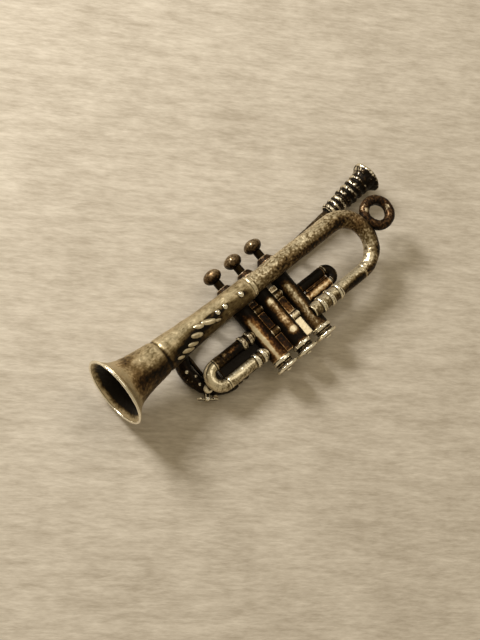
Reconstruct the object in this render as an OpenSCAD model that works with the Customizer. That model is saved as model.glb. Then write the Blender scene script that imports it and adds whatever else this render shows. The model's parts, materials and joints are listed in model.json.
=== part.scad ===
// Miniature three-valve trumpet with a hanging eyelet, in millimetres.
// It lies on its right side: +X from bell to mouthpiece, +Y towards the finger buttons,
// +Z up. The parts are drawn about the bell's axis, with X = 0 at the rim, and place()
// moves them so that the origin is under the middle of the whole instrument.

/* [Bell] */
// Radius of the bell's rim, over the rolled edge
rim_r = 3.7; // [3.2:0.05:4.4]
// Radius that the flare closes down to just behind the rim
throat_r = 2.3; // [1.9:0.05:2.5]
// Length of the bell, from the rim to the seam in front of the valves
bell_len = 17.5; // [15:0.1:21]
// Length over which the flare dies away
flare_len = 0.84; // [0.6:0.02:1.1]
// Thickness of the bell's sheet
bell_wall = 0.2; // [0.15:0.01:0.3]
// Radius of the wire that is rolled into the rim
rim_wire_r = 0.13; // [0.1:0.01:0.18]

/* [Bell tube and bow] */
// Outer radius of the straight bell tube
tube_r = 1.0; // [0.9:0.02:1.1]
// Where the straight tube ends and the bow starts, from the rim
bow_x = 29.1; // [27:0.05:34]
// How far below the bell's axis the bow brings the tube back
return_drop = 5.8; // [5.65:0.05:6.6]
// Outer radius of the return tube
return_r = 0.74; // [0.6:0.01:0.76]
// Wall of the bow, the bell tube and the return tube
tube_wall = 0.16; // [0.12:0.01:0.2]

/* [Eyelet] */
// Radius of the eyelet's hole
eye_hole_r = 0.92; // [0.6:0.02:1]
// Thickness of the eyelet's ring
eye_wire = 1.06; // [0.8:0.02:1.2]
// Angle above the bow's middle at which the eyelet stands
eye_angle = 9; // [0:1:20]

/* [Valves] */
// Where the middle valve stands, from the rim
valve_x = 19.0; // [18.5:0.05:23]
// Distance between valves
valve_pitch = 2.78; // [2.6:0.02:2.9]
// Outer radius of a valve casing
casing_r = 0.95; // [0.85:0.01:1.02]
// Wall of a valve casing
casing_wall = 0.22; // [0.18:0.01:0.26]
// Top of the casings, above the bell's axis
casing_top = 1.0; // [0.8:0.05:1.2]
// Length of the casings
casing_len = 8.4; // [8.2:0.05:9]
// Length of a piston
piston_len = 5.5; // [5:0.05:5.9]
// Radius of a valve stem
stem_r = 0.44; // [0.36:0.01:0.5]
// How far a valve goes down
valve_travel = 0.75; // [0.5:0.05:0.85]
// Radius of a finger button
button_r = 0.97; // [0.8:0.01:1.1]
// Height of a finger button
button_h = 1.4; // [1:0.05:1.5]
// Height of a top cap above its casing
top_cap_h = 0.75; // [0.5:0.05:0.9]
// Radius of the widest ring on a bottom cap
bottom_cap_r = 1.24; // [1.1:0.02:1.28]
// Height of a bottom cap below its casing
bottom_cap_h = 1.15; // [0.9:0.05:1.3]

/* [Leadpipe and mouthpiece] */
// Outer radius of the leadpipe
lead_r = 0.5; // [0.48:0.01:0.54]
// Height of the leadpipe above the bell's axis, where it passes the valves
lead_y = 0.55; // [0.3:0.05:0.7]
// Angle at which the leadpipe leaves for the mouthpiece
lead_angle = 6.6; // [5:0.1:8]
// Way that the leadpipe turns: 0 is towards the buttons, 90 is away from the floor
lead_turn = 42; // [30:1:55]
// Length of the leadpipe behind its bend
lead_run = 8.7; // [7.5:0.1:9.5]
// Radius of the mouthpiece's receiver
receiver_r = 0.82; // [0.7:0.02:0.86]
// Radius of the mouthpiece's rim
mouth_r = 1.7; // [1.4:0.05:1.75]
// Length of the mouthpiece that shows
mouth_len = 4.3; // [3.8:0.1:5]

/* [Slides] */
// Running clearance of every slide, piston and stem, on the radius
run_gap = 0.03; // [0.02:0.005:0.05]
// Wall of a slide's outer tube
slide_wall = 0.12; // [0.1:0.01:0.14]
// Gap between a slide's bow and its outer tubes, pushed home
home_gap = 0.12; // [0.08:0.01:0.2]
// Where the tuning slide's bow starts, from the rim
tune_x = 11.45; // [9.6:0.05:11.5]
// Height of the tuning slide's lower leg below the bell's axis
tune_drop = 6.1; // [5.7:0.05:6.2]
// Outer radius of the tuning slide's bow
tune_bow_r = 0.76; // [0.6:0.02:0.8]
// Outer radius of the third valve's slide
third_r = 0.62; // [0.54:0.01:0.64]
// Where the third slide's bow starts, from the rim
third_x = 10.15; // [9.6:0.05:11.5]
// Height of the third slide's upper leg below the bell's axis
third_drop = 3.8; // [3.6:0.05:3.95]
// Distance between the third slide's legs
third_gap = 2.2; // [1.9:0.05:2.3]
// Outer radius of the first valve's slide
first_r = 0.54; // [0.5:0.01:0.56]
// Where the first slide's bow starts, from the rim
first_x = 26.0; // [25:0.05:29]
// Height of the first slide's upper leg below the bell's axis
first_drop = 3.15; // [2.95:0.05:3.25]
// Distance between the first slide's legs
first_gap = 1.26; // [1.2:0.02:1.3]
// Outer radius of the second valve's slide
second_r = 0.36; // [0.34:0.01:0.4]
// Height of the second slide's upper leg below the bell's axis
second_drop = 2.4; // [2:0.05:2.8]
// Distance between the second slide's legs
second_gap = 1.2; // [0.95:0.05:1.4]
// Angle between the second slide and straight down, towards the bell
second_angle = 40; // [35:1:50]

/* [Hidden] */
$fn = 64;

// Overshoot of a cut past the face that it opens
cut = 0.5;
// Room left between pieces that solder joins, bridged by a saddle
solder_gap = 0.04;
// How far a ferrule's bead stands out of its tube
bead = 0.15;
// Half the length of a bead
bead_half = 0.24;
// Least room between the third slide's bow and the tuning slide's bow, which lies behind it
bow_room = 0.1;

// Outer radius of the bell at distance x behind the rim: a slowing taper plus a dying flare
function bell_r(x) = tube_r + (throat_r - tube_r) * (1 - x / bell_len) ^ 2
    + (rim_r - throat_r) * exp(-x / flare_len);

// Valves 1, 2 and 3, counted from the mouthpiece as players do
valve_xs = [valve_x + valve_pitch, valve_x, valve_x - valve_pitch];
casing_bottom = casing_top - casing_len;
bore_r = casing_r - casing_wall;
piston_r = bore_r - run_gap;
// The casings clear the widest part of the bell that passes them
casing_z = -(bell_r(valve_xs[2] - casing_r) + casing_r + solder_gap);
lead_z = casing_z - max(casing_r + lead_r + solder_gap, third_r + tune_bow_r + bow_room);

// The bow lies in a plane that leans, to bring the return tube to the first casing
return_z = casing_z + return_r;
bow_lean = atan2(-return_z, return_drop);
bow_R = norm([return_drop, return_z]) / 2;
bow_rings = 28;
bow_sides = 36;

// The eyelet stands outside the bow and bites a little into it
eye_R = eye_hole_r + eye_wire / 2 - 0.05;
eye_share = (90 - eye_angle) / 180;
eye_seat_r = tube_r + (return_r - tube_r) * eye_share;
eye_bite = 0.38;
eye_out = bow_R + eye_seat_r + eye_R + eye_wire / 2 - eye_bite;
eye_dx = eye_out * cos(eye_angle);
eye_rise = eye_out * sin(eye_angle) - bow_R;

// Pistons stop just under their top caps and stand on springs
cap_plug = 0.15;
piston_top = casing_top - cap_plug - 0.02;
piston_bottom = piston_top - piston_len;
port_r = 0.32;
plug_r = bore_r - 0.02;
spring_R = 0.48;
spring_wire_r = 0.07;
spring_turns = 5;
spring_floor = casing_bottom + cap_plug;
button_bottom = casing_top + top_cap_h + valve_travel + 0.05;
button_y = button_bottom + button_h / 2;

// Knuckles are the short tubes from casing to casing, just above the second slide's tubes
knuckle_gap = 0.02;
second_out = sqrt(casing_r ^ 2 - second_r ^ 2);
knuckle_r = second_out * cos(second_angle) - second_r * sin(second_angle) - knuckle_gap;
knuckle_ys = [-2.2, -4.9];
web_t = 0.3;
web_top = -1.2;

// The leadpipe's bend
bend_x = valve_xs[0] + casing_r;
bend_R = 8;
receiver_len = 2.0;
receiver_lap = 1.0;
shank_r = lead_r - 0.08;
shank_len = receiver_len - receiver_lap - 0.1;
mouth_start = lead_run - receiver_lap + receiver_len + 0.05;

// Radii of the slides' legs, which run in the outer tubes and end in the bows
tune_leg_r = lead_r - slide_wall - run_gap;
tune_R = (lead_y + tune_drop) / 2;
tune_mid_y = lead_y - tune_R;
elbow_R = 0.8;
// The legs end just before the elbow of the lower tube
tune_leg_len = valve_xs[2] - elbow_R - tune_x - 0.17;
third_leg_r = third_r - slide_wall - run_gap;
third_leg_len = 3.6;
first_leg_r = first_r - slide_wall - run_gap;
first_leg_len = 2.4;
second_leg_r = second_r - slide_wall - run_gap / 2;
second_tube_len = 0.45;
second_start = casing_r + second_tube_len + home_gap;
second_leg_len = home_gap + second_tube_len - 0.03;
leg_wall = 0.12;

// Water key, on the outside of the tuning slide's bow
key_angle = 232;
key_pin_r = 0.1;
key_pivot_t = 0.85;
key_pivot_h = 0.42;
key_nipple_h = 0.18;
key_cork_h = 0.14;
key_w = 0.4;
key_bar = 0.18;
key_plate_t = 0.7;
key_plate_r = 0.3;
key_lug_t = 0.14;
key_lug_gap = 0.03;

// Whole size, for the origin under the middle of the box
lead_dir = [cos(lead_angle), sin(lead_angle) * cos(lead_turn), sin(lead_angle) * sin(lead_turn)];
bend_shift = bend_R * (1 - cos(lead_angle));
bend_end = [
    bend_x + bend_R * sin(lead_angle),
    lead_y + bend_shift * cos(lead_turn),
    lead_z + bend_shift * sin(lead_turn)
];
mouth_end = bend_end + lead_dir * (mouth_start + mouth_len);
mouth_edge = 0.15;
mouth_front = mouth_end - lead_dir * mouth_edge;
x_far = max(
    mouth_end[0] + (mouth_r - mouth_edge) * sqrt(1 - lead_dir[0] ^ 2),
    mouth_front[0] + mouth_r * sqrt(1 - lead_dir[0] ^ 2),
    bow_x + eye_dx + eye_R + eye_wire / 2
);
y_far = max(button_bottom + button_h, rim_r);
nipple_h = 0.22;
y_near = casing_bottom - bottom_cap_h - nipple_h;
z_near = lead_z - max(tune_bow_r, lead_r + bead);

silver = [0.62, 0.58, 0.47];
bronze = [0.45, 0.36, 0.24];
dark = [0.24, 0.21, 0.16];
steel = [0.6, 0.62, 0.65];
cork = [0.72, 0.55, 0.36];

// ---------------------------------------------------------------- helpers

module place() translate([-x_far / 2, -(y_far + y_near) / 2, -z_near]) children();

// Points local Z along +X, so that turned shapes lie along the tubes
module lay(x, y = 0, z = 0) translate([x, y, z]) rotate([0, 90, 0]) children();

// Points local Z along +Y at a valve's axis, from height y
module stand(x, y) translate([x, y, casing_z]) rotate([-90, 0, 0]) children();

// Tube of length h along local Z
module pipe(h, r, wall) difference() {
    cylinder(h = h, r = r);
    translate([0, 0, -cut]) cylinder(h = h + 2 * cut, r = r - wall);
}

// Collar with broken edges about local Z, seated on a tube of radius r
module collar(r) rotate_extrude() polygon([
    [r, -bead_half], [r + bead * 0.5, -bead_half], [r + bead, -bead_half * 0.5],
    [r + bead, bead_half * 0.5], [r + bead * 0.5, bead_half], [r, bead_half]
]);

// Half a ring of tube, open towards +X, with its legs at y = R and y = -R
module half_bow(R, r, hole_r) rotate([0, 0, 90]) rotate_extrude(angle = 180)
    translate([R, 0]) difference() {
        circle(r = r, $fn = 48);
        circle(r = hole_r, $fn = 48);
    }

// Outer shape of every casing, for the saddle cuts
module casing_cut() for (x = valve_xs)
    stand(x, casing_bottom - cut) cylinder(h = casing_len + 2 * cut, r = casing_r);

// Local frame of the bow: its plane leans about the bell's axis
module bow_plane() translate([bow_x, 0, 0]) rotate([bow_lean, 0, 0]) children();

// Local frame of the leadpipe at the end of its bend, with local Z along the pipe
module lead_frame() translate([bend_x, lead_y, lead_z]) rotate([lead_turn, 0, 0])
    translate([bend_R * sin(lead_angle), bend_shift, 0])
        rotate([0, 0, lead_angle]) rotate([0, 90, 0]) children();

// Local frame of the second slide: X along the slide, Y as in the whole
module second_frame() translate([valve_x, 0, casing_z])
    rotate([0, 90 + second_angle, 0]) children();

// Local frame of the water key: Y out of the bow, X along it, Z as in the whole
module key_frame() translate([tune_x, tune_mid_y, lead_z]) rotate([0, 0, key_angle])
    translate([tune_R + tune_bow_r, 0, 0]) rotate([0, 0, -90]) children();

// ---------------------------------------------------------------- bell

bell_steps = 30;
bell_xs = [for (i = [0:bell_steps]) bell_len * (i / bell_steps) ^ 2];

module bell_wire_ring(r) lay(rim_wire_r) rotate_extrude($fn = 96)
    translate([rim_r - rim_wire_r, 0]) circle(r = r, $fn = 32);

module bell_solid() lay(0) rotate_extrude($fn = 96) polygon(concat(
    [[0, 0]],
    [for (x = bell_xs) [bell_r(x), x]],
    [[0, bell_len]]
));

module bell() color(silver) place() difference() {
    lay(0) rotate_extrude($fn = 96) polygon(concat(
        [for (x = bell_xs) [bell_r(x), x]],
        [for (i = [bell_steps:-1:0]) [bell_r(bell_xs[i]) - bell_wall, bell_xs[i]]]
    ));
    bell_wire_ring(rim_wire_r);
    // The sheet ends behind the wire
    translate([-cut, 0, 0]) lay(0) cylinder(h = cut + rim_wire_r, r = rim_r + cut);
}

module bell_rim_wire() color(silver) place() bell_wire_ring(rim_wire_r);

module bell_ferrule() color(silver) place()
    lay(bell_len + bead_half) collar(tube_r);

module bell_tube() color(silver) place()
    lay(bell_len) pipe(bow_x - bell_len, tube_r, tube_wall);

// One ring of points round the bow's centre line, at share s of the way along it
function bow_ring(s, inset) = [
    for (j = [0:bow_sides - 1])
        let (
            a = 180 * s,
            t = 360 * j / bow_sides,
            r = tube_r + (return_r - tube_r) * s - inset,
            out = bow_R + r * cos(t)
        )
        [out * sin(a), out * cos(a) - bow_R, r * sin(t)]
];

module bell_bow() {
    n = bow_sides;
    rings = bow_rings + 1;
    skin = rings * n;
    points = concat(
        [for (i = [0:bow_rings]) each bow_ring(i / bow_rings, 0)],
        [for (i = [0:bow_rings]) each bow_ring(i / bow_rings, tube_wall)]
    );
    sides = [
        for (i = [0:bow_rings - 1], j = [0:n - 1])
            let (k = (j + 1) % n)
            each [
                [i * n + j, i * n + k, (i + 1) * n + k, (i + 1) * n + j],
                [skin + i * n + k, skin + i * n + j, skin + (i + 1) * n + j, skin + (i + 1) * n + k]
            ]
    ];
    last = bow_rings * n;
    ends = [
        for (j = [0:n - 1])
            let (k = (j + 1) % n)
            each [
                [k, j, skin + j, skin + k],
                [last + j, last + k, skin + last + k, skin + last + j]
            ]
    ];
    color(silver) place() bow_plane() polyhedron(points, concat(sides, ends), convexity = 6);
}

module return_tube() color(silver) place() difference() {
    lay(valve_xs[0], -return_drop, return_z) pipe(bow_x - valve_xs[0], return_r, tube_wall);
    casing_cut();
}

// Three beads between the first casing and the bow
return_collars = 3;
module return_ferrules() color(silver) place() {
    first = valve_xs[0] + casing_r + bead_half + 0.1;
    for (i = [0:return_collars - 1])
        lay(first + i * 1.2, -return_drop, return_z) collar(return_r);
}

module eyelet() color(silver) place() difference() {
    bow_plane_at = [bow_x + eye_dx, eye_rise * cos(bow_lean), eye_rise * sin(bow_lean)];
    translate(bow_plane_at) difference() {
        rotate_extrude() translate([eye_R, 0]) circle(d = eye_wire, $fn = 48);
        translate([0, 0, -eye_wire]) cylinder(h = 2 * eye_wire, r = eye_hole_r);
    }
    bow_plane() translate([0, -bow_R, 0]) rotate([0, 0, -90]) rotate_extrude(angle = 180)
        translate([bow_R, 0]) circle(r = eye_seat_r - 0.04, $fn = 48);
}

// ---------------------------------------------------------------- leadpipe

module leadpipe() color(dark) place() {
    start = tune_x + home_gap;
    lay(start, lead_y, lead_z) pipe(bend_x - start, lead_r, slide_wall);
    translate([bend_x, lead_y, lead_z]) rotate([lead_turn, 0, 0]) translate([0, bend_R, 0])
        rotate([0, 0, -90]) rotate_extrude(angle = lead_angle) translate([bend_R, 0])
            difference() {
                circle(r = lead_r, $fn = 48);
                circle(r = lead_r - slide_wall, $fn = 48);
            }
    lead_frame() pipe(lead_run, lead_r, slide_wall);
}

module mouthpiece_receiver() color(dark) place() lead_frame()
    translate([0, 0, lead_run - receiver_lap]) rotate_extrude() difference() {
        union() {
            square([receiver_r, receiver_len]);
            for (h = [0.3, receiver_len / 2, receiver_len - 0.3])
                translate([receiver_r - 0.1, h]) circle(r = 0.24, $fn = 32);
        }
        square([lead_r, receiver_lap]);
        translate([0, receiver_lap - cut]) square([shank_r + run_gap, receiver_len + cut]);
        translate([-cut, -cut]) square([cut, receiver_len + 2 * cut]);
    }

// Shank, widening body with turned beads, and flared rim, with a cup and a throat inside
module mouthpiece() color(silver) place() lead_frame() translate([0, 0, mouth_start]) {
    body_r = receiver_r + 0.08;
    swell = 0.22;
    cup_depth = 1.1;
    rotate_extrude() difference() {
        union() {
            translate([0, -shank_len]) square([shank_r, shank_len + 0.1]);
            polygon([
                [0, 0], [body_r, 0], [body_r + swell * 0.62, mouth_len * 0.62],
                [body_r + 0.34, mouth_len * 0.8], [mouth_r, mouth_len - mouth_edge - 0.15],
                [mouth_r, mouth_len - mouth_edge], [mouth_r - mouth_edge, mouth_len], [0, mouth_len]
            ]);
            for (k = [0.1, 0.28, 0.46, 0.64])
                translate([body_r - 0.1 + swell * k, mouth_len * k]) circle(r = 0.26, $fn = 32);
        }
        translate([0, -shank_len - cut]) square([0.16, shank_len + mouth_len + 2 * cut]);
        polygon([
            [0, mouth_len - cup_depth - 0.2], [0.16, mouth_len - cup_depth - 0.2],
            [0.75, mouth_len - cup_depth * 0.6], [1.02, mouth_len - 0.1],
            [1.12, mouth_len + cut], [0, mouth_len + cut]
        ]);
        translate([-cut * 2, -cut * 4]) square([cut * 2, mouth_len + cut * 8]);
    }
}

// ---------------------------------------------------------------- valves

module valve_casing(i) color(bronze) place()
    stand(valve_xs[i - 1], casing_bottom) pipe(casing_len, casing_r, casing_wall);

module casing_knuckles() color(silver) place() difference() {
    for (x = [valve_xs[2], valve_xs[1]], y = knuckle_ys)
        lay(x, y, casing_z) pipe(valve_pitch, knuckle_r, tube_wall);
    casing_cut();
}

// Plates that tie the casings together, with room for the knuckles
module casing_webs() color(bronze) place() difference() {
    translate([valve_xs[2], casing_bottom + 0.1, casing_z - web_t / 2])
        cube([2 * valve_pitch, web_top - casing_bottom - 0.1, web_t]);
    casing_cut();
    for (y = knuckle_ys)
        lay(valve_xs[2], y, casing_z) cylinder(h = 2 * valve_pitch, r = knuckle_r);
}

// Cone over the casing's mouth, with a plug inside the bore and a hole for the stem
module top_cap(i) color(dark) place() stand(valve_xs[i - 1], casing_top) {
    hole = stem_r + run_gap;
    lip = 0.16;
    rotate_extrude() polygon([
        [hole, -cap_plug], [plug_r, -cap_plug], [plug_r, 0], [casing_r + 0.08, 0],
        [casing_r + 0.08, lip], [hole + 0.16, top_cap_h], [hole, top_cap_h]
    ]);
}

// Plug, upper ring, groove, wide lower ring and a nipple with an air hole
module bottom_cap(i) color(silver) place() stand(valve_xs[i - 1], casing_bottom) {
    h = bottom_cap_h;
    neck = casing_r - 0.1;
    ring = casing_r + 0.12;
    rotate_extrude() polygon([
        [0.12, cap_plug], [plug_r, cap_plug], [plug_r, 0], [ring, 0], [ring, -h * 0.28],
        [neck, -h * 0.36], [neck, -h * 0.62], [bottom_cap_r, -h * 0.76], [bottom_cap_r, -h * 0.92],
        [bottom_cap_r - 0.12, -h], [0.34, -h], [0.26, -h - nipple_h], [0.12, -h - nipple_h]
    ]);
}

// Piston with two ports that go straight through
module piston(i) color(steel) place() difference() {
    stand(valve_xs[i - 1], piston_bottom) cylinder(h = piston_len, r = piston_r);
    for (y = knuckle_ys) if (y - port_r > piston_bottom)
        lay(valve_xs[i - 1] - casing_r, y, casing_z) cylinder(h = 2 * casing_r, r = port_r);
}

module valve_stem(i) color(dark) place() stand(valve_xs[i - 1], piston_top)
    cylinder(h = button_bottom - piston_top, r = stem_r);

// Flattened ball
module finger_button(i) color(silver) place() stand(valve_xs[i - 1], button_y)
    rotate_extrude() polygon(concat(
        [for (a = [-90:7.5:90]) [button_r * cos(a) + 0.0001, button_h / 2 * sin(a)]],
        [[0, button_h / 2], [0, -button_h / 2]]
    ));

// Coil spring between the piston and the bottom cap, a wire swept along a helix
module valve_spring(i) {
    sides = 6;
    per_turn = 14;
    n = spring_turns * per_turn;
    rise = piston_bottom - spring_floor - 2 * spring_wire_r - 0.04;
    points = [
        for (k = [0:n], j = [0:sides - 1])
            let (
                a = 360 * k / per_turn,
                t = 360 * j / sides,
                out = spring_R + spring_wire_r * cos(t)
            )
            [out * cos(a), out * sin(a), rise * k / n + spring_wire_r * sin(t)]
    ];
    walls = [
        for (k = [0:n - 1], j = [0:sides - 1])
            let (m = (j + 1) % sides)
            [k * sides + j, k * sides + m, (k + 1) * sides + m, (k + 1) * sides + j]
    ];
    caps = [[for (j = [sides - 1:-1:0]) j], [for (j = [0:sides - 1]) n * sides + j]];
    color(steel) place() stand(valve_xs[i - 1], spring_floor + spring_wire_r + 0.02)
        mirror([0, 1, 0]) polyhedron(points, concat(walls, caps), convexity = 8);
}

// ---------------------------------------------------------------- saddles and braces

// Solder saddles between the bell tube and the casings
module bell_saddles() color(dark) place() difference() {
    for (x = valve_xs) translate([x, 0, casing_z]) cylinder(h = -casing_z, r = 0.5);
    casing_cut();
    bell_solid();
    lay(bell_len - 0.001) cylinder(h = bow_x - bell_len, r = tube_r);
    lay(bell_len + bead_half) collar(tube_r);
}

// Solder saddles between the leadpipe and the casings
module leadpipe_saddles() color(dark) place() difference() {
    for (x = valve_xs) translate([x, lead_y, lead_z]) cylinder(h = lead_r + casing_r, r = 0.34);
    casing_cut();
    lay(tune_x, lead_y, lead_z) cylinder(h = bow_x - tune_x, r = lead_r);
}

// Posts between the bell and the leadpipe, before and behind the valves
brace_xs = [13.2, 25.6];
brace_r = 0.2;
module bell_braces() color(dark) place() difference() {
    for (x = brace_xs)
        translate([x, lead_y * 0.8, lead_z]) cylinder(h = -lead_z, r = brace_r);
    bell_solid();
    lay(bell_len - 0.001) cylinder(h = bow_x - bell_len, r = tube_r);
    lay(tune_x, lead_y, lead_z) cylinder(h = bend_x - tune_x, r = lead_r);
    lead_frame() cylinder(h = lead_run, r = lead_r);
}

// ---------------------------------------------------------------- tuning slide

module tuning_slide_bow() color(dark) place()
    translate([tune_x, tune_mid_y, lead_z]) half_bow(tune_R, tune_bow_r, tune_leg_r - leg_wall);

module tuning_slide_legs() color(steel) place() for (y = [lead_y, -tune_drop])
    lay(tune_x, y, lead_z) pipe(tune_leg_len, tune_leg_r, leg_wall);

// Bar across the bow, close behind its crown
module tuning_slide_brace() color(dark) place() difference() {
    translate([tune_x - tune_R * 0.66, tune_mid_y, lead_z]) rotate([90, 0, 0])
        cylinder(h = 2 * tune_R, r = 0.2, center = true);
    translate([tune_x, tune_mid_y, lead_z]) rotate([0, 0, 90]) rotate_extrude(angle = 180)
        translate([tune_R, 0]) union() {
            circle(r = tune_bow_r, $fn = 48);
            translate([0, -1]) square([2, 2]);
        }
}

// Lower outer tube, with an elbow into the back of the third casing
module tuning_lower_tube() color(dark) place() difference() {
    union() {
        start = tune_x + home_gap;
        turn = valve_xs[2] - elbow_R;
        lay(start, -tune_drop, lead_z) pipe(turn - start, lead_r, slide_wall);
        translate([turn, -tune_drop, lead_z + elbow_R]) rotate([90, 0, 0]) rotate([0, 0, -90])
            rotate_extrude(angle = 90) translate([elbow_R, 0]) difference() {
                circle(r = lead_r, $fn = 48);
                circle(r = lead_r - slide_wall, $fn = 48);
            }
    }
    casing_cut();
}

module tuning_ferrules() color(dark) place() for (y = [lead_y, -tune_drop], x = [0.3, 1.1])
    lay(tune_x + home_gap + x, y, lead_z) collar(lead_r);

// ---------------------------------------------------------------- valve slides

third_ys = [-third_drop, -third_drop - third_gap];

module third_slide_bow() color(silver) place()
    translate([third_x, (third_ys[0] + third_ys[1]) / 2, casing_z])
        half_bow(third_gap / 2, third_r, third_leg_r - leg_wall);

module third_slide_legs() color(steel) place() for (y = third_ys)
    lay(third_x, y, casing_z) pipe(third_leg_len, third_leg_r, leg_wall);

module third_slide_tubes() color(silver) place() difference() {
    for (y = third_ys) lay(third_x + home_gap, y, casing_z)
        pipe(valve_xs[2] - third_x - home_gap, third_r, slide_wall);
    casing_cut();
}

module third_slide_ferrules() color(silver) place() for (y = third_ys, i = [0, 1])
    lay(valve_xs[2] - casing_r - bead_half - 0.1 - i * 0.9, y, casing_z) collar(third_r);

first_ys = [-first_drop, -first_drop - first_gap];

module first_slide_bow() color(dark) place()
    translate([first_x, (first_ys[0] + first_ys[1]) / 2, casing_z])
        mirror([1, 0, 0]) half_bow(first_gap / 2, first_r, first_leg_r - leg_wall);

module first_slide_legs() color(steel) place() for (y = first_ys)
    lay(first_x - first_leg_len, y, casing_z) pipe(first_leg_len, first_leg_r, leg_wall);

module first_slide_tubes() color(bronze) place() difference() {
    for (y = first_ys) lay(valve_xs[0], y, casing_z)
        pipe(first_x - home_gap - valve_xs[0], first_r, slide_wall);
    casing_cut();
}

second_ys = [-second_drop, -second_drop - second_gap];

module second_slide_bow() color(silver) place() second_frame()
    translate([second_start, (second_ys[0] + second_ys[1]) / 2, 0])
        mirror([1, 0, 0]) half_bow(second_gap / 2, second_r, second_leg_r - leg_wall * 0.7);

module second_slide_legs() color(steel) place() second_frame() for (y = second_ys)
    lay(second_start - second_leg_len, y, 0) pipe(second_leg_len, second_leg_r, leg_wall * 0.7);

module second_slide_tubes() color(silver) place() difference() {
    second_frame() for (y = second_ys) lay(0, y, 0)
        pipe(casing_r + second_tube_len, second_r, slide_wall);
    casing_cut();
}

// ---------------------------------------------------------------- water key

// Solid outer shape of the tuning slide's bow, for the saddle cuts
module tuning_bow_cut() translate([tune_x, tune_mid_y, lead_z]) rotate([0, 0, 90])
    rotate_extrude(angle = 180) translate([tune_R, 0]) circle(r = tune_bow_r, $fn = 48);

module water_key_nipple() color(silver) place() difference() {
    key_frame() translate([0, -tune_bow_r / 2, 0]) rotate([-90, 0, 0])
        cylinder(h = tune_bow_r / 2 + key_nipple_h, r = 0.28);
    tuning_bow_cut();
}

// Two lugs that hold the pin
module water_key_saddle() color(silver) place() difference() {
    key_frame() {
        inner = key_w / 2 + key_lug_gap;
        for (s = [0, 1]) mirror([0, 0, s]) translate([key_pivot_t, 0, inner]) {
            cylinder(h = key_lug_t, r = 0.22);
            translate([-0.2, -tune_bow_r, 0]) cube([0.4, tune_bow_r, key_lug_t]);
            translate([-0.2, 0, 0]) cube([0.4, key_pivot_h, key_lug_t]);
            translate([0, key_pivot_h, 0]) cylinder(h = key_lug_t, r = 0.22);
        }
    }
    tuning_bow_cut();
    key_frame() translate([key_pivot_t, key_pivot_h, -1]) cylinder(h = 2, r = key_pin_r);
}

module water_key_pin() color(steel) place() key_frame()
    translate([key_pivot_t, key_pivot_h, 0])
        cylinder(h = key_w + 2 * (key_lug_gap + key_lug_t) + 0.04, r = key_pin_r, center = true);

// Lever with a barrel on the pin, a cup over the cork and a finger plate
module water_key_lever() color(silver) place() key_frame() difference() {
    base = key_nipple_h + key_cork_h;
    union() {
        translate([-0.1, base, -key_w / 2]) cube([key_pivot_t + key_plate_t, key_bar, key_w]);
        translate([0, base, 0]) rotate([-90, 0, 0]) cylinder(h = key_bar, r = 0.3);
        translate([key_pivot_t + key_plate_t, base, 0]) rotate([-90, 0, 0])
            cylinder(h = key_bar, r = key_plate_r);
        translate([key_pivot_t, key_pivot_h, 0]) cylinder(h = key_w, r = 0.24, center = true);
    }
    translate([key_pivot_t, key_pivot_h, -1]) cylinder(h = 2, r = key_pin_r + run_gap / 2);
}

module water_key_cork() color(cork) place() key_frame() translate([0, key_nipple_h + 0.01, 0])
    rotate([-90, 0, 0]) cylinder(h = key_cork_h - 0.01, r = 0.26);

// ---------------------------------------------------------------- assembly

bell();
bell_rim_wire();
bell_ferrule();
bell_tube();
bell_bow();
return_tube();
return_ferrules();
eyelet();
leadpipe();
mouthpiece_receiver();
mouthpiece();
valve_casing(1);  // valve_casing_1
valve_casing(2);  // valve_casing_2
valve_casing(3);  // valve_casing_3
casing_knuckles();
casing_webs();
top_cap(1);  // top_cap_1
top_cap(2);  // top_cap_2
top_cap(3);  // top_cap_3
bottom_cap(1);  // bottom_cap_1
bottom_cap(2);  // bottom_cap_2
bottom_cap(3);  // bottom_cap_3
piston(1);  // piston_1
piston(2);  // piston_2
piston(3);  // piston_3
valve_stem(1);  // valve_stem_1
valve_stem(2);  // valve_stem_2
valve_stem(3);  // valve_stem_3
finger_button(1);  // finger_button_1
finger_button(2);  // finger_button_2
finger_button(3);  // finger_button_3
valve_spring(1);  // valve_spring_1
valve_spring(2);  // valve_spring_2
valve_spring(3);  // valve_spring_3
bell_saddles();
leadpipe_saddles();
bell_braces();
tuning_slide_bow();
tuning_slide_legs();
tuning_slide_brace();
tuning_lower_tube();
tuning_ferrules();
third_slide_bow();
third_slide_legs();
third_slide_tubes();
third_slide_ferrules();
first_slide_bow();
first_slide_legs();
first_slide_tubes();
second_slide_bow();
second_slide_legs();
second_slide_tubes();
water_key_nipple();
water_key_saddle();
water_key_pin();
water_key_lever();
water_key_cork();
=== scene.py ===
# %% [markdown]
# # A miniature trumpet in antiqued silver
#
# This lesson finishes a charm-sized trumpet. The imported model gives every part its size, its
# place and the body that it moves with. What it can't give is the look of a small casting:
# soft edges, uneven skin, black patina left in the hollows and bright metal where hands have
# rubbed it. Each step below makes one of those things and says why it is made that way.

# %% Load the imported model
import json
import math

import bpy
import numpy as np
from mathutils import Matrix, Vector
from mathutils.bvhtree import BVHTree


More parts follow.
